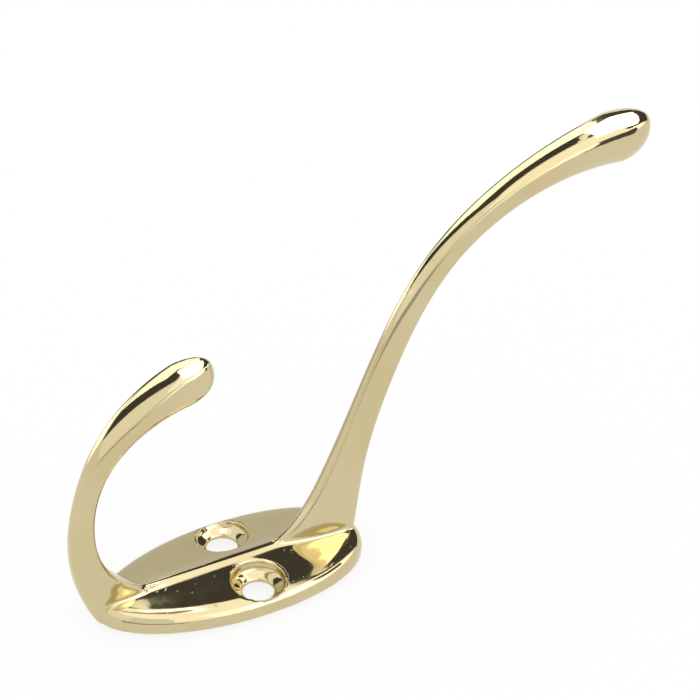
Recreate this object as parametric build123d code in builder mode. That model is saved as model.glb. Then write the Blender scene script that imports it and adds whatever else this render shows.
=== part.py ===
"""One-piece hat and coat hook: an oval wall plate with a long upper arm and a short lower arm.

Frame: the wall is the plane y = 0 and the hook stands out towards -Y, +Z is up the wall and
x = 0 is the plane of symmetry. The origin lies on the wall, midway between the two screw holes.
"""

import os
from math import hypot, radians, tan

from build123d import *

os.makedirs("parts", exist_ok=True)

# Wall plate, seen from the front
plate_half_width = 11.0
plate_up = 20.4
plate_down = 23.9
upper_fullness = 12.4
upper_tip = 7.0
lower_fullness = 12.6
lower_tip = 5.4

# Heights of the plate above the wall
rim_height = 2.2
rim_rounding = 0.5
face_rise = 1.2
shoulder_rise = 1.47
crest_rise = 2.0

# Half-widths of the plate's raised bands, and how far each band stops short of the next at the ends
face_half_width = 6.4
shoulder_half_width = 2.1
crest_half_width = 0.45
band_inset = 1.4

# Back of the plate
seat_width = 1.6
back_hollow = 0.6

# Screw holes
screw_offset = 6.15
screw_hole_radius = 2.4
sink_radius = 4.15
sink_angle = 120

# Arm sections: height of the front crown, swell of the sides and depth of the rounded inner face,
# each for one unit of half-width
crown = 0.22
swell = 1.2
belly = 0.4

# Each arm follows a front edge and an inner edge, smooth lines through points that are given as
# (half-width, out from the wall, up from the plate's end)
upper_front = [
    (0.6, 3.7, -15.4),
    (0.9, 7.1, -10.1),
    (1.25, 13.8, -5.5),
    (0.8, 30.2, 1.75),
    (1.5, 47.75, 12.8),
    (2.45, 58.85, 29.95),
    (3.7, 62.6, 44.1),
]
upper_inner = [
    (1.85, 1.4, -1.05),
    (1.95, 7.2, -0.1),
    (1.8, 14.5, 1.1),
    (1.95, 30.25, 6.2),
    (1.9, 46.75, 16.6),
    (2.1, 55, 31.75),
    (2.5, 56.05, 44.75),
]
lower_front = [
    (0.9, 0, -0.45),
    (1.25, 5.7, -2.55),
    (1, 13.7, -4),
    (0.6, 22.85, -3),
    (1.55, 30.3, 0.55),
    (2.65, 36.6, 6.95),
    (2.75, 40.8, 14.5),
]
lower_inner = [
    (1, 1.5, 11.9),
    (1.2, 4.6, 6.7),
    (1.7, 10.3, 1.5),
    (1.6, 18.9, -0.1),
    (1.7, 27.1, 2.45),
    (2.3, 33.15, 9.05),
    (2.4, 35.35, 15.65),
]
arm_sections = 12

# Length of each round thumb end for one unit of half-width
upper_thumb = 1.6
lower_thumb = 1.8


def leaf(half_width, inset):
    """The plate's outline, drawn in by the inset at both ends, with the given half-width."""
    with BuildSketch() as outline:
        with BuildLine():
            for side in (half_width, -half_width):
                for end, full, tip in (
                    (plate_up - inset, upper_fullness, upper_tip),
                    (inset - plate_down, -lower_fullness, lower_tip),
                ):
                    quarter = Bezier(
                        (side, 0),
                        (side, full),
                        (tip * side / plate_half_width, end),
                        (0, end),
                        mode=Mode.PRIVATE,
                    )
                    add(quarter.trim(0, 0.5))
                    add(quarter.trim(0.5, 1))
        make_face()
    return outline.sketch


def arm_edge(foot, points):
    """Smooth line through an arm's guide points, standing on the plate's end."""
    with BuildLine() as edge:
        Spline(*[(half, -out, foot + up) for half, out, up in points])
    return edge.line.edge()


def station(front, inner):
    """Plane across an arm: width along X, depth from the inner edge to the front edge."""
    middle = (front + inner) / 2
    across = front - inner
    depth = hypot(across.Y, across.Z)
    normal = (0, -across.Z / depth, across.Y / depth)
    return Plane(origin=(0, middle.Y, middle.Z), x_dir=(1, 0, 0), z_dir=normal), depth


def arm_section(depth, front_half, inner_half):
    """An arm section: crowned front, full sides, rounded inner face."""
    top = depth / 2
    full = swell * max(front_half, inner_half)
    round_off = belly * inner_half
    with BuildSketch() as section:
        with BuildLine():
            ThreePointArc((-front_half, top), (0, top + crown * front_half), (front_half, top))
            for side in (1, -1):
                edge = side * inner_half
                Bezier((side * front_half, top), (side * full, 0), (edge, round_off - top))
            ThreePointArc((inner_half, round_off - top), (0, -top), (-inner_half, round_off - top))
        make_face()
    return section.sketch


with BuildPart() as hook:
    # Plate with its upright rim
    with BuildSketch(Plane.XZ):
        add(leaf(plate_half_width, 0))
    extrude(amount=rim_height)

    # Dished faces running up to the ridge
    with BuildSketch(Plane.XZ.offset(rim_height)):
        add(leaf(plate_half_width, 0))
    with BuildSketch(Plane.XZ.offset(rim_height + face_rise)):
        add(leaf(face_half_width, band_inset))
    with BuildSketch(Plane.XZ.offset(rim_height + shoulder_rise)):
        add(leaf(shoulder_half_width, 2 * band_inset))
    with BuildSketch(Plane.XZ.offset(rim_height + crest_rise)):
        add(leaf(crest_half_width, 3 * band_inset))
    loft()
    rim_edges = hook.edges().filter_by_position(Axis.Y, -rim_height, -rim_height)
    fillet(rim_edges, rim_rounding)

    # Arms
    for foot, front_points, inner_points, thumb_length in (
        (plate_up, upper_front, upper_inner, upper_thumb),
        (-plate_down, lower_front, lower_inner, lower_thumb),
    ):
        front_edge = arm_edge(foot, front_points)
        inner_edge = arm_edge(foot, inner_points)
        for number in range(arm_sections):
            front = front_edge @ (number / (arm_sections - 1))
            inner = inner_edge @ (number / (arm_sections - 1))
            place, depth = station(front, inner)
            with BuildSketch(place):
                add(arm_section(depth, front.X, inner.X))
        loft()

        # Round thumb end, half a turn of the last section drawn out along the arm
        with BuildPart(mode=Mode.PRIVATE) as thumb:
            with BuildSketch():
                add(arm_section(depth, front.X, inner.X))
                Rectangle(4 * inner.X, 4 * depth, align=(Align.MIN, Align.CENTER), mode=Mode.INTERSECT)
            revolve(axis=Axis.Y, revolution_arc=180)
            scale(by=(1, 1, thumb_length))
        add(thumb.part.moved(place.location))

    # Hollow back, leaving a seat round the edge
    with BuildSketch(Plane.XZ):
        add(leaf(plate_half_width - seat_width, seat_width))
    extrude(amount=back_hollow, mode=Mode.SUBTRACT)

    # Screw holes: a round well down to the rim's level, a cone for the screw head, then the hole
    cone_depth = (sink_radius - screw_hole_radius) / tan(radians(sink_angle / 2))
    for side in (1, -1):
        middle = Plane(origin=(side * screw_offset, -rim_height, 0), x_dir=(1, 0, 0), z_dir=(0, 0, 1))
        with BuildSketch(middle):
            with BuildLine():
                Polyline(
                    (0, -2 * crest_rise),
                    (sink_radius, -2 * crest_rise),
                    (sink_radius, 0),
                    (screw_hole_radius, cone_depth),
                    (screw_hole_radius, 2 * rim_height),
                    (0, 2 * rim_height),
                    close=True,
                )
            make_face()
        revolve(axis=Axis(middle.origin, middle.y_dir), mode=Mode.SUBTRACT)

hook.part.label = "hook"
export_step(hook.part, "parts/hook.step")
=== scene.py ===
import math

import bmesh
import bpy
import numpy as np
from mathutils import Matrix, Vector


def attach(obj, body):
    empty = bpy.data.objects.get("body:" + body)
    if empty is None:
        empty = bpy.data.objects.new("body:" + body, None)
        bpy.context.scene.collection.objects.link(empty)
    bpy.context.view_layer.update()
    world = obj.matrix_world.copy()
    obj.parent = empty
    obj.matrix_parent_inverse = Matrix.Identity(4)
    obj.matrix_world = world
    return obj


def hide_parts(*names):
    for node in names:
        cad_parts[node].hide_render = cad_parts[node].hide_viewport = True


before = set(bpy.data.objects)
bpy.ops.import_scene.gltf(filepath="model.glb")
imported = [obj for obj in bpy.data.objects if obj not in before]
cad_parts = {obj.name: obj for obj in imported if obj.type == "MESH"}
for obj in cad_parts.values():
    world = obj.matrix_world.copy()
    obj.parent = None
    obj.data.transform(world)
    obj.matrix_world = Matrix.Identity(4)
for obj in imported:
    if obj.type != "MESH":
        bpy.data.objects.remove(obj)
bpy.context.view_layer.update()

MM = 0.001

# Camera of the photograph: place and clipping in metres, lens in millimetres
CAMERA_PLACE = Vector((0.2796, -0.2531, -0.1393))
CAMERA_RIGHT = Vector((0.4872, -0.0097, 0.8733))
CAMERA_UP = Vector((-0.4933, -0.8282, 0.2660))
CAMERA_LENS = 133.0
CAMERA_NEAR = 0.01
CAMERA_FAR = 20.0

# Wall plate, in millimetres. Each end of its outline has a fullness and a tip.
PLATE_HALF_WIDTH = 11.0
PLATE_UP = 20.4
PLATE_DOWN = 23.9
UPPER_END = (12.4, 7.0)
LOWER_END = (12.6, 5.4)
OUTLINE_STEPS = 36
SEAT_WIDTH = 1.6
BACK_HOLLOW = 0.6
RIM_HEIGHT = 2.2

# Rim from its softened seat edge to its rounded lip, as (inset, height)
RIM_PROFILE = [
    (0.2, 0.0), (0.06, 0.06), (0.0, 0.2), (0.0, 0.8), (0.0, 1.3),
    (0.0, 1.7), (0.03, 1.86), (0.1, 2.0), (0.22, 2.13), (0.38, 2.23),
]

# Dished faces from the rim to the crest of the ridge, as (half-width, inset at the ends, height).
# The lip takes up the first part of that line.
BAND_INSET = 1.4
BANDS = [
    (PLATE_HALF_WIDTH, 0.0, RIM_HEIGHT),
    (6.4, BAND_INSET, RIM_HEIGHT + 1.2),
    (2.1, 2 * BAND_INSET, RIM_HEIGHT + 1.47),
    (0.45, 3 * BAND_INSET, RIM_HEIGHT + 2.0),
]
FACE_START = 0.06
FACE_RINGS = 41

# Screw holes, and the plug that cuts them
SCREW_OFFSET = 6.15
HOLE_RADIUS = 2.4
SINK_RADIUS = 4.15
SINK_DEPTH = 1.01
PLUG_SIDES = 96
PLUG_BEHIND_WALL = 2
PLUG_WELL = 6

# Arms: front and inner edges as (half-width, out from the wall, up from the plate's end)
UPPER_FRONT = [
    (0.6, 3.7, -15.4), (0.9, 7.1, -10.1), (1.25, 13.8, -5.5), (0.8, 30.2, 1.75),
    (1.5, 47.75, 12.8), (2.45, 58.85, 29.95), (3.7, 62.6, 44.1),
]
UPPER_INNER = [
    (1.85, 1.4, -1.05), (1.95, 7.2, -0.1), (1.8, 14.5, 1.1), (1.95, 30.25, 6.2),
    (1.9, 46.75, 16.6), (2.1, 55.0, 31.75), (2.5, 56.05, 44.75),
]
LOWER_FRONT = [
    (0.9, 0.0, 0.0), (1.25, 5.7, -2.5), (1.0, 13.7, -4.0), (0.6, 22.85, -3.0),
    (1.55, 30.3, 0.55), (2.65, 36.6, 6.95), (2.75, 40.8, 14.5),
]
LOWER_INNER = [
    (1.0, 1.5, 11.9), (1.2, 4.6, 6.7), (1.7, 10.3, 1.5), (1.6, 18.9, -0.1),
    (1.7, 27.1, 2.45), (2.3, 33.15, 9.05), (2.4, 35.35, 15.65),
]
UPPER_RINGS = 130
LOWER_RINGS = 90
LINE_STEPS = 800

# Arm sections, for one unit of half-width, and how finely each is drawn
CROWN = 0.22
SWELL = 1.2
BELLY = 0.4
EDGE_SOFTNESS = 0.36
CROWN_STEPS = 12
SIDE_STEPS = 14
INNER_STEPS = 8
SOFTENING_STEPS = 9

# Thumb ends: length for one unit of half-width
UPPER_THUMB = 1.6
LOWER_THUMB = 1.8
THUMB_STEPS = 15

# Skin of the casting
MERGE_REACH = 1e-6
SKIN = 0.24 * MM
POLISH_FACTOR = 0.5
POLISH_PASSES = 10

# Brass: colours, roughness and depths in metres. The grain scales are per metre.
BRASS_PALE = (0.63, 0.54, 0.32)
BRASS_WARM = (0.6, 0.5, 0.28)
DRIFT_GRAIN = 70
DRIFT_SPAN = (0.35, 0.75)
POLISH = (0.05, 0.09)
POLISH_GRAIN = 220
POLISH_SPAN = (0.3, 0.7)
SPECK_GRAIN = 1500
SPECK_SPAN = (0.73, 0.76)
SPECK_ROUGHNESS = 0.4
WAVE_GRAIN = 130
WAVE_DEPTH = 0.00008
PEEL_GRAIN = 900
PEEL_DEPTH = 0.000003

# Ground, in metres
GROUND_SIZE = 0.5
GROUND_GAP = 0.0003
GROUND_GLOW = 0.8
GROUND_PAPER = 0.2

# Panels and dark flags on a dome round the hook, seen only in the brass:
# name, light, bearings and heights in degrees, reach in metres. A nearer one hides one behind it.
# Bearing is 0 towards -X and grows towards +Z; height is measured out from the wall.
PANELS = [
    ("overhead_panel", 1.55, (-180, 180), (64, 90), 1.6),
    ("near_side_panel", 2.0, (90, 180), (25, 64), 1.5),
    ("near_side_return", 1.6, (-180, -160), (24, 64), 1.5),
    ("near_side_lamp", 4.0, (128, 162), (36, 58), 1.4),
    ("foot_panel", 1.2, (-125, -41), (15, 66), 1.5),
    ("dark_arch", 0.07, (-40, 86), (13, 62.5), 1.3),
    ("end_panel", 1.4, (19, 23.8), (46.3, 66), 1.2),
    ("cream_panel", 2.0, (-20, 24), (14, 43), 1.2),
    ("dark_sill", 0.1, (-7, 24), (-12, 14), 1.1),
    ("low_panel", 2.2, (-35, -10), (-12, 11), 1.1),
    ("dark_gap", 0.5, (-165, -118), (0, 14), 1.5),
]
PANEL_STEPS = 24

# Cards near the hook that only the brass sees, in millimetres:
# name, light, place, aim, size across and up
CARDS = [
    ("hat_tip_card", 3.4, (-13.4, -82.5, 74.7), (0, -62, 66), (21, 20)),
    ("coat_tip_card", 3.2, (-8, -61, -5.3), (3, -37, -19.4), (18, 18)),
    ("far_card", 0.72, (-40, -17, 14), (0, -17, 14), (34, 66)),
    ("hat_tip_flag", 0.1, (31, -86, 82), (0, -62.5, 68), (46, 36)),
    ("corner_flag", 0.08, (-1.8, -34.8, 39.2), (6, -3, 15.5), (12, 11)),
]


def select_only(obj):
    """Leaves one object selected and active."""
    bpy.ops.object.select_all(action="DESELECT")
    obj.select_set(True)
    bpy.context.view_layer.objects.active = obj


def lengths_along(points):
    """Distance of each point from the first, along the line through them."""
    return np.concatenate([[0], np.cumsum(np.linalg.norm(np.diff(points, axis=0), axis=1))])


def smooth_line(points, fractions):
    """Places on a cubic spline through the points, at fractions of its length."""
    knots = np.array(points, float)
    along = lengths_along(knots)
    gap = np.diff(along)
    count = len(along)
    system = np.zeros((count, count))
    right = np.zeros((count, knots.shape[1]))
    for i in range(1, count - 1):
        system[i, i - 1 : i + 2] = gap[i - 1], 2 * (gap[i - 1] + gap[i]), gap[i]
        right[i] = 6 * ((knots[i + 1] - knots[i]) / gap[i] - (knots[i] - knots[i - 1]) / gap[i - 1])
    system[0, :3] = gap[1], -gap[0] - gap[1], gap[0]
    system[-1, -3:] = gap[-1], -gap[-1] - gap[-2], gap[-2]
    bend = np.linalg.solve(system, right)

    def place(t):
        i = min(int(np.searchsorted(along, t, side="right")) - 1, count - 2)
        h, a, b = gap[i], along[i + 1] - t, t - along[i]
        return (
            bend[i] * a**3 / (6 * h)
            + bend[i + 1] * b**3 / (6 * h)
            + (knots[i] / h - bend[i] * h / 6) * a
            + (knots[i + 1] / h - bend[i + 1] * h / 6) * b
        )

    fine = np.linspace(0, along[-1], LINE_STEPS)
    length = lengths_along(np.array([place(t) for t in fine]))
    return [place(np.interp(f * length[-1], length, fine)) for f in fractions]


def leaf_ring(half_width, inset, height):
    """The plate's outline as a ring of points, drawn in at both ends by the inset."""
    ring = []
    for quarter in range(4):
        side = half_width if quarter in (0, 3) else -half_width
        up = quarter in (0, 1)
        end = PLATE_UP - inset if up else inset - PLATE_DOWN
        full, tip = UPPER_END if up else (-LOWER_END[0], LOWER_END[1])
        tip = tip * side / PLATE_HALF_WIDTH
        for step in range(OUTLINE_STEPS):
            t = step / OUTLINE_STEPS
            if quarter in (1, 3):
                t = 1 - t
            s = 1 - t
            x = side * (s**3 + 3 * s * s * t) + tip * 3 * s * t * t
            z = full * 3 * s * s * t + end * (3 * s * t * t + t**3)
            ring.append(Vector((x, -height, z)) * MM)
    return ring


def arm_section(depth, front_half, inner_half):
    """Points round an arm: crowned front, full sides, rounded inner face."""
    top = depth / 2
    full = SWELL * max(front_half, inner_half)
    sag = CROWN * front_half
    crown_radius = (front_half**2 + sag**2) / (2 * sag)
    belly = BELLY * inner_half
    belly_radius = (inner_half**2 + belly**2) / (2 * belly)
    low = belly - top
    half = []
    for step in range(CROWN_STEPS + 1):
        x = front_half * step / CROWN_STEPS
        half.append((x, top + sag - crown_radius + math.sqrt(crown_radius**2 - x * x)))
    for step in range(1, SIDE_STEPS + 1):
        t = step / SIDE_STEPS
        s = 1 - t
        x = s * s * front_half + 2 * s * t * full + t * t * inner_half
        half.append((x, s * s * top + t * t * low))
    for step in range(1, INNER_STEPS + 1):
        x = inner_half * (1 - step / INNER_STEPS)
        half.append((x, -top + belly_radius - math.sqrt(belly_radius**2 - x * x)))
    return soften(half, EDGE_SOFTNESS * front_half)


def soften(half, reach):
    """Rounds the edges of half a section over a short reach, and returns the whole section."""
    line = np.array(half + [(-x, y) for x, y in half[-2:0:-1]])
    line = np.vstack([line, line[:1]])
    run = lengths_along(line)
    mean = 0
    for shift in np.linspace(-reach / 2, reach / 2, SOFTENING_STEPS):
        at = (run[:-1] + shift) % run[-1]
        moved = np.stack([np.interp(at, run, line[:, k]) for k in (0, 1)], axis=1)
        mean = mean + moved / SOFTENING_STEPS
    return [tuple(point) for point in mean]


def arm_rings(foot, front_points, inner_points, thumb, count):
    """Rings of points along an arm from its root to its round thumb end."""
    fractions = [i / (count - 1) for i in range(count)]
    fronts = smooth_line([(h, -o, foot + u) for h, o, u in front_points], fractions)
    inners = smooth_line([(h, -o, foot + u) for h, o, u in inner_points], fractions)
    sideways = Vector((1, 0, 0))
    rings = []
    for front, inner in zip(fronts, inners):
        middle = Vector((0, (front[1] + inner[1]) / 2, (front[2] + inner[2]) / 2))
        across = Vector((0, front[1] - inner[1], front[2] - inner[2]))
        section = arm_section(across.length, front[0], inner[0])
        out = across.normalized()
        rings.append([(middle + sideways * x + out * y) * MM for x, y in section])
    ahead = out.cross(sideways)
    for step in range(1, THUMB_STEPS + 1):
        angle = math.radians(90 * step / THUMB_STEPS)
        ring = []
        for x, y in section:
            swing = sideways * x * math.cos(angle) + ahead * abs(x) * thumb * math.sin(angle)
            ring.append((middle + swing + out * y) * MM)
        rings.append(ring)
    return rings


def draw_out(name, rings):
    """A shell from a circle that is extruded ring by ring, with its open ends filled."""
    bpy.ops.object.select_all(action="DESELECT")
    bpy.ops.mesh.primitive_circle_add(vertices=len(rings[0]))
    shell = bpy.context.view_layer.objects.active
    shell.name = name
    bpy.ops.object.mode_set(mode="EDIT")
    bpy.ops.mesh.select_all(action="SELECT")
    mesh = bmesh.from_edit_mesh(shell.data)
    order = mesh.verts.layers.int.new("order")
    for number, vert in enumerate(mesh.verts):
        vert[order] = number
        vert.co = rings[0][number]
    for ring in rings[1:]:
        bpy.ops.mesh.extrude_edges_move()
        mesh = bmesh.from_edit_mesh(shell.data)
        order = mesh.verts.layers.int["order"]
        for vert in mesh.verts:
            if vert.select:
                vert.co = ring[vert[order]]
    bmesh.update_edit_mesh(shell.data)
    bpy.ops.mesh.select_all(action="SELECT")
    bpy.ops.mesh.remove_doubles(threshold=MERGE_REACH)
    bpy.ops.mesh.fill_holes(sides=0)
    bpy.ops.mesh.normals_make_consistent(inside=False)
    bpy.ops.object.mode_set(mode="OBJECT")
    return shell


def make_camera():
    """Camera at the photograph's viewing angle."""
    data = bpy.data.cameras.new("photo_camera")
    data.lens = CAMERA_LENS
    data.clip_start = CAMERA_NEAR
    data.clip_end = CAMERA_FAR
    camera = bpy.data.objects.new("photo_camera", data)
    bpy.context.scene.collection.objects.link(camera)
    back = CAMERA_RIGHT.cross(CAMERA_UP).normalized()
    up = back.cross(CAMERA_RIGHT).normalized()
    turn = Matrix((CAMERA_RIGHT.normalized(), up, back)).transposed().to_4x4()
    camera.matrix_world = Matrix.Translation(CAMERA_PLACE) @ turn
    bpy.context.scene.camera = camera


def polished_brass():
    """Polished brass: faint colour drift, uneven polish, casting waviness and small specks."""
    material = bpy.data.materials.new("polished_brass")
    material.use_nodes = True
    nodes, links = material.node_tree.nodes, material.node_tree.links
    shader = nodes["Principled BSDF"]
    shader.inputs["Metallic"].default_value = 1.0
    place = nodes.new("ShaderNodeTexCoord").outputs["Object"]

    def grain(scale, detail):
        noise = nodes.new("ShaderNodeTexNoise")
        noise.inputs["Scale"].default_value = scale
        noise.inputs["Detail"].default_value = detail
        links.new(place, noise.inputs["Vector"])
        return noise.outputs["Fac"]

    def ramp(value, span, ends):
        step = nodes.new("ShaderNodeMapRange")
        step.interpolation_type = "SMOOTHSTEP"
        links.new(value, step.inputs["Value"])
        for socket, amount in zip(("From Min", "From Max", "To Min", "To Max"), (*span, *ends)):
            step.inputs[socket].default_value = amount
        return step.outputs["Result"]

    def bump(height, depth):
        relief = nodes.new("ShaderNodeBump")
        relief.inputs["Strength"].default_value = 1.0
        relief.inputs["Distance"].default_value = depth
        links.new(height, relief.inputs["Height"])
        return relief

    drift = nodes.new("ShaderNodeMix")
    drift.data_type = "RGBA"
    drift.inputs["A"].default_value = (*BRASS_PALE, 1)
    drift.inputs["B"].default_value = (*BRASS_WARM, 1)
    links.new(ramp(grain(DRIFT_GRAIN, 2), DRIFT_SPAN, (0, 1)), drift.inputs["Factor"])
    links.new(drift.outputs["Result"], shader.inputs["Base Color"])

    polish = nodes.new("ShaderNodeMath")
    polish.operation = "MULTIPLY_ADD"
    polish.inputs[1].default_value = SPECK_ROUGHNESS
    links.new(ramp(grain(SPECK_GRAIN, 1), SPECK_SPAN, (0, 1)), polish.inputs[0])
    links.new(ramp(grain(POLISH_GRAIN, 3), POLISH_SPAN, POLISH), polish.inputs[2])
    links.new(polish.outputs[0], shader.inputs["Roughness"])

    wave = bump(grain(WAVE_GRAIN, 1), WAVE_DEPTH)
    peel = bump(grain(PEEL_GRAIN, 2), PEEL_DEPTH)
    links.new(wave.outputs["Normal"], peel.inputs["Normal"])
    links.new(peel.outputs["Normal"], shader.inputs["Normal"])
    return material


def make_plate():
    """Oval wall plate: hollow back, seat, upright rim, rounded lip, dished faces and ridge."""
    inner = PLATE_HALF_WIDTH - SEAT_WIDTH
    rings = [leaf_ring(inner, SEAT_WIDTH, BACK_HOLLOW), leaf_ring(inner, SEAT_WIDTH, 0)]
    for inset, height in RIM_PROFILE:
        rings.append(leaf_ring(PLATE_HALF_WIDTH - inset, inset, height))
    steps = np.linspace(FACE_START, 1, FACE_RINGS)
    for half_width, inset, height in smooth_line(BANDS, steps):
        rings.append(leaf_ring(half_width, inset, height))
    return draw_out("plate", rings)


def cut_screw_hole(plate, side):
    """One screw hole with its cone and well, cut with a turned plug."""
    middle = side * SCREW_OFFSET * MM
    bpy.ops.object.select_all(action="DESELECT")
    bpy.ops.mesh.primitive_circle_add(
        vertices=PLUG_SIDES,
        radius=HOLE_RADIUS * MM,
        fill_type="NGON",
        location=(middle, PLUG_BEHIND_WALL * MM, 0),
        rotation=(math.radians(90), 0, 0),
    )
    plug = bpy.context.view_layer.objects.active
    bpy.ops.object.transform_apply(location=True, rotation=True, scale=True)
    bpy.ops.object.mode_set(mode="EDIT")
    bpy.ops.mesh.select_all(action="SELECT")
    for rise, grow in (
        (PLUG_BEHIND_WALL + RIM_HEIGHT - SINK_DEPTH, 1),
        (SINK_DEPTH, SINK_RADIUS / HOLE_RADIUS),
        (PLUG_WELL, 1),
    ):
        bpy.ops.mesh.extrude_region_move(TRANSFORM_OT_translate={"value": (0, -rise * MM, 0)})
        bpy.ops.transform.resize(value=(grow, 1, grow), center_override=(middle, 0, 0))
    bpy.ops.mesh.select_all(action="SELECT")
    bpy.ops.mesh.normals_make_consistent(inside=False)
    bpy.ops.object.mode_set(mode="OBJECT")
    select_only(plate)
    cut = plate.modifiers.new("screw_hole", "BOOLEAN")
    cut.operation = "DIFFERENCE"
    cut.solver = "EXACT"
    cut.object = plug
    bpy.ops.object.modifier_apply(modifier=cut.name)
    bpy.data.objects.remove(plug)


def make_casting():
    """The hook's one casting: plate and arms run together under one polished skin."""
    casting = make_plate()
    for side in (1, -1):
        cut_screw_hole(casting, side)
    upper_rings = arm_rings(PLATE_UP, UPPER_FRONT, UPPER_INNER, UPPER_THUMB, UPPER_RINGS)
    lower_rings = arm_rings(-PLATE_DOWN, LOWER_FRONT, LOWER_INNER, LOWER_THUMB, LOWER_RINGS)
    arms = [draw_out("upper_arm", upper_rings), draw_out("lower_arm", lower_rings)]
    select_only(casting)
    for arm in arms:
        arm.select_set(True)
    bpy.ops.object.join()
    casting.name = "casting"
    casting.data.name = "casting"
    skin = casting.modifiers.new("skin", "REMESH")
    skin.mode = "VOXEL"
    skin.voxel_size = SKIN
    bpy.ops.object.modifier_apply(modifier=skin.name)
    polish = casting.modifiers.new("polish", "SMOOTH")
    polish.factor = POLISH_FACTOR
    polish.iterations = POLISH_PASSES
    bpy.ops.object.modifier_apply(modifier=polish.name)
    bpy.ops.object.shade_smooth()
    casting.data.materials.clear()
    casting.data.materials.append(polished_brass())
    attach(casting, "root")
    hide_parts("hook")


def make_surround():
    """Plain white surround at a strength of 1."""
    world = bpy.data.worlds.new("white_surround")
    bpy.context.scene.world = world
    world.use_nodes = True
    backdrop = world.node_tree.nodes["Background"]
    backdrop.inputs["Color"].default_value = (1, 1, 1, 1)
    backdrop.inputs["Strength"].default_value = 1.0


def stage_glow(board, light):
    """Gives a board a new material, and returns it with the glow that lights it."""
    material = bpy.data.materials.new(board.name)
    material.use_nodes = True
    nodes = material.node_tree.nodes
    nodes.remove(nodes["Principled BSDF"])
    glow = nodes.new("ShaderNodeEmission")
    glow.inputs["Strength"].default_value = light
    board.data.materials.append(material)
    return material, glow


def show_on_front(material, shader):
    """Shows a shader on the front of a board, and leaves its back clear."""
    nodes, links = material.node_tree.nodes, material.node_tree.links
    clear = nodes.new("ShaderNodeBsdfTransparent")
    side = nodes.new("ShaderNodeNewGeometry")
    front = nodes.new("ShaderNodeMixShader")
    links.new(side.outputs["Backfacing"], front.inputs[0])
    links.new(shader.outputs[0], front.inputs[1])
    links.new(clear.outputs[0], front.inputs[2])
    links.new(front.outputs[0], nodes["Material Output"].inputs["Surface"])


def make_ground():
    """White ground behind the plate, clear from behind, which keeps the hook's shadow."""
    bpy.ops.object.select_all(action="DESELECT")
    bpy.ops.mesh.primitive_plane_add(
        size=GROUND_SIZE,
        location=(0, GROUND_GAP, 0),
        rotation=(math.radians(90), 0, 0),
    )
    ground = bpy.context.view_layer.objects.active
    ground.name = "ground"
    material, glow = stage_glow(ground, GROUND_GLOW)
    nodes, links = material.node_tree.nodes, material.node_tree.links
    paper = nodes.new("ShaderNodeBsdfDiffuse")
    paper.inputs["Color"].default_value = (GROUND_PAPER, GROUND_PAPER, GROUND_PAPER, 1)
    both = nodes.new("ShaderNodeAddShader")
    links.new(glow.outputs[0], both.inputs[0])
    links.new(paper.outputs[0], both.inputs[1])
    show_on_front(material, both)


def show_only_in_brass(board, light):
    """Gives a stage board its brightness on its front, and hides it from all but mirror rays."""
    material, glow = stage_glow(board, light)
    material.cycles.emission_sampling = "NONE"
    show_on_front(material, glow)
    board.visible_camera = False
    board.visible_diffuse = False
    board.visible_shadow = False


def make_panel(name, light, bearings, heights, reach):
    """Part of a dome round the hook, facing in."""
    bpy.ops.object.select_all(action="DESELECT")
    bpy.ops.mesh.primitive_grid_add(x_subdivisions=PANEL_STEPS, y_subdivisions=PANEL_STEPS, size=1)
    panel = bpy.context.view_layer.objects.active
    panel.name = name
    for vert in panel.data.vertices:
        bearing = math.radians(bearings[0] + (bearings[1] - bearings[0]) * (vert.co.x + 0.5))
        height = math.radians(heights[0] + (heights[1] - heights[0]) * (vert.co.y + 0.5))
        level = reach * math.cos(height)
        vert.co = (-level * math.cos(bearing), -reach * math.sin(height), level * math.sin(bearing))
    panel.data.update()
    middle = panel.data.polygons[len(panel.data.polygons) // 2]
    if middle.normal.dot(middle.center) > 0:
        panel.data.flip_normals()
    show_only_in_brass(panel, light)


def make_card(name, light, place, aim, size):
    """Flat card near the hook, facing its aim."""
    facing = (Vector(aim) - Vector(place)).to_track_quat("Z", "Y").to_euler()
    bpy.ops.object.select_all(action="DESELECT")
    bpy.ops.mesh.primitive_plane_add(size=MM, location=Vector(place) * MM, rotation=facing)
    card = bpy.context.view_layer.objects.active
    card.name = name
    card.scale = (*size, 1)
    bpy.ops.object.transform_apply(location=False, rotation=False, scale=True)
    show_only_in_brass(card, light)


bpy.context.scene.view_settings.view_transform = "Standard"
make_camera()
make_casting()
make_ground()
make_surround()
for panel in PANELS:
    make_panel(*panel)
for card in CARDS:
    make_card(*card)
